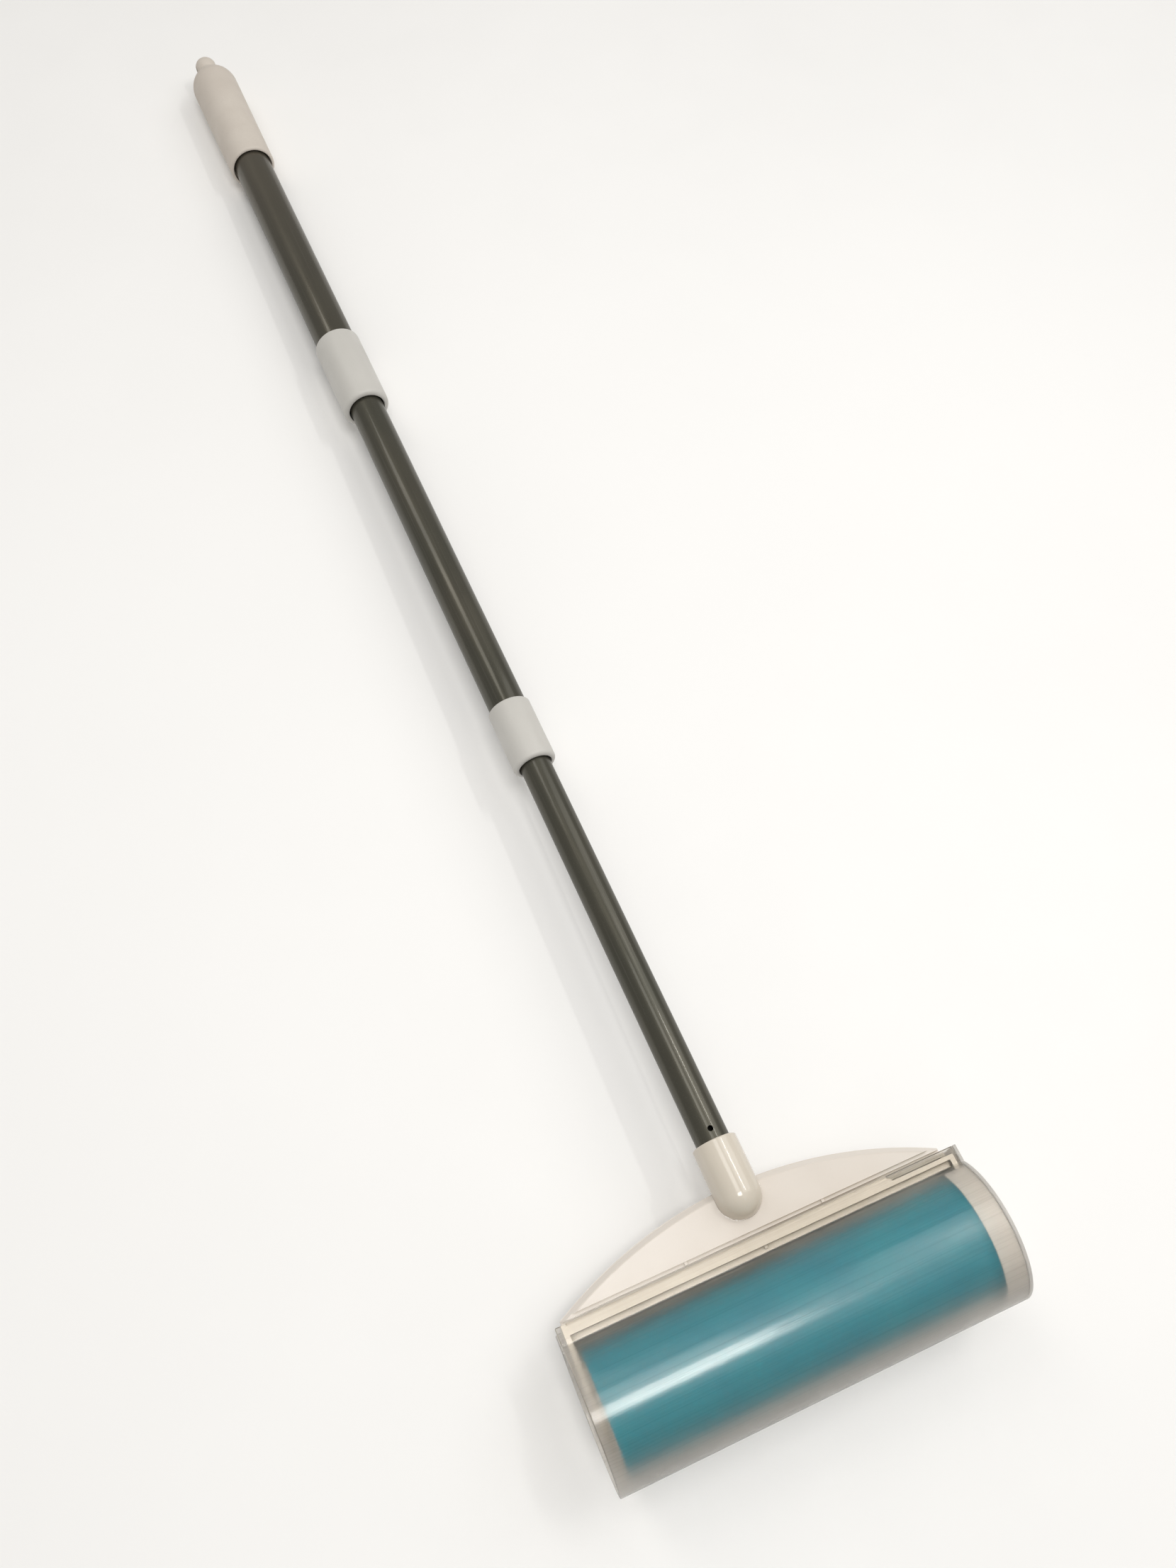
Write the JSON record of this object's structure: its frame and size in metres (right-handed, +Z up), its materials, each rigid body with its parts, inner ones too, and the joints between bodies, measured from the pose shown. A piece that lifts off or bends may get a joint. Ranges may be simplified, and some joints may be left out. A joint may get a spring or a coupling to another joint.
{
  "type": "telescopic reusable lint roller",
  "caption": "Long-handled reusable lint roller: sticky gel roller in a fork, sliding frosted cover with a keyhole section, crescent wing and telescopic twist-lock pole with a plain grip.",
  "frame": {"origin": "bottom centre of the bounding box, the object lying down with its pole level", "axes": "+X along the roller, +Y from the roller along the pole to the grip, +Z up"},
  "size_m": [0.201, 0.9812, 0.067],
  "materials": {
    "cream_plastic": "moulded satin",
    "white_plastic": "moulded gloss",
    "beige_plastic": "moulded gloss",
    "frosted_plastic": "extruded, frosted, see-through",
    "teal_gel": "glossy, tacky polyurethane gel",
    "tube_paint": "satin grey-brown paint on steel",
    "collar_plastic": "moulded satin",
    "grip_plastic": "fine matte texture",
    "white_nylon": "moulded, natural",
    "plated_steel": "zinc plated"
  },
  "bodies": {
    "head": {"fork": "cream_plastic", "wing_top_shell": "white_plastic", "wing_bottom_shell": "white_plastic", "pole_socket": "beige_plastic", "socket_screw": "plated_steel", "wing_screw_left": "plated_steel", "wing_screw_right": "plated_steel", "lower_tube": "tube_paint", "lower_lock_plug": "white_nylon"},
    "roller": {"gel_sleeve": "teal_gel", "roller_core": "cream_plastic", "end_cap_left": "cream_plastic", "end_cap_right": "cream_plastic"},
    "cover": {"cover_shell": "frosted_plastic", "cover_end_cap": "frosted_plastic"},
    "lower_sleeve": {"lower_lock_sleeve": "white_nylon"},
    "lower_wedge": {"lower_lock_wedge": "white_nylon"},
    "middle_section": {"middle_tube": "tube_paint", "lower_collar": "collar_plastic", "lower_bush": "white_nylon", "upper_lock_plug": "white_nylon"},
    "upper_sleeve": {"upper_lock_sleeve": "white_nylon"},
    "upper_wedge": {"upper_lock_wedge": "white_nylon"},
    "upper_section": {"upper_tube": "tube_paint", "upper_collar": "collar_plastic", "upper_bush": "white_nylon", "grip": "grip_plastic"}
  },
  "joints": [
    {"name": "roller_spin", "type": "hinge", "parent": "head", "child": "roller", "pos_m": [0, -0.45715, 0.0335], "axis": [1, 0, 0], "continuous": true},
    {"name": "cover_slide", "type": "slide", "parent": "head", "child": "cover", "axis": [1, 0, 0], "range_m": [0, 0.205]},
    {"name": "lower_twist", "type": "hinge", "parent": "head", "child": "lower_sleeve", "pos_m": [0, -0.07965, 0.0385], "axis": [0, 1, 0], "range_deg": [0, 270]},
    {"name": "lower_wedge_travel", "type": "slide", "parent": "lower_sleeve", "child": "lower_wedge", "axis": [0, 1, 0], "range_m": [0, 0.0015]},
    {"name": "lower_telescope", "type": "slide", "parent": "lower_sleeve", "child": "middle_section", "axis": [0, 1, 0], "range_m": [-0.214, 0]},
    {"name": "upper_twist", "type": "hinge", "parent": "middle_section", "child": "upper_sleeve", "pos_m": [0, 0.20635, 0.0385], "axis": [0, 1, 0], "range_deg": [0, 270]},
    {"name": "upper_wedge_travel", "type": "slide", "parent": "upper_sleeve", "child": "upper_wedge", "axis": [0, 1, 0], "range_m": [0, 0.0015]},
    {"name": "upper_telescope", "type": "slide", "parent": "upper_sleeve", "child": "upper_section", "axis": [0, 1, 0], "range_m": [-0.232, 0]}
  ],
  "couplings": [
    {"joint": "lower_wedge_travel", "follows": "lower_twist", "m_per_rad": 0.00031831},
    {"joint": "upper_wedge_travel", "follows": "upper_twist", "m_per_rad": 0.00031831}
  ]
}
